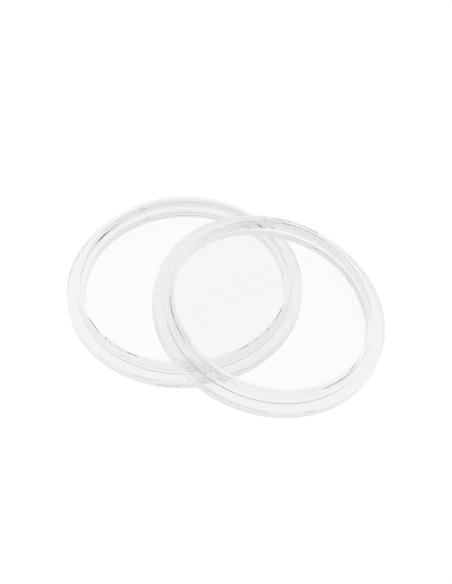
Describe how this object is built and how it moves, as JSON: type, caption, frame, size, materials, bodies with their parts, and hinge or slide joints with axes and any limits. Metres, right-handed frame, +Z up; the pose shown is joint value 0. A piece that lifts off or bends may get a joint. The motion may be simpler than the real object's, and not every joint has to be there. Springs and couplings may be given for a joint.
{
  "type": "coin capsule",
  "caption": "Round clear plastic coin capsule lying open: a flat flanged cap with a socket ring, and a coin tray with a snap-in ring leaning on it.",
  "frame": {"origin": "centre of the cap's underside, on the table", "axes": "+Z up along the cap's axis; +X towards the side on which the tray leans; -Y towards the viewer"},
  "size_m": [0.0516, 0.0479, 0.0132],
  "materials": {
    "cap_clear": "clear, polished",
    "tray_clear": "clear, polished"
  },
  "bodies": {
    "cap": {"cap_half": "cap_clear"},
    "tray": {"tray_half": "tray_clear"}
  },
  "joints": [
    {"name": "tray_lift", "type": "slide", "parent": "cap", "child": "tray", "axis": [0, 0, 1], "range_m": [0, 0.03]}
  ]
}
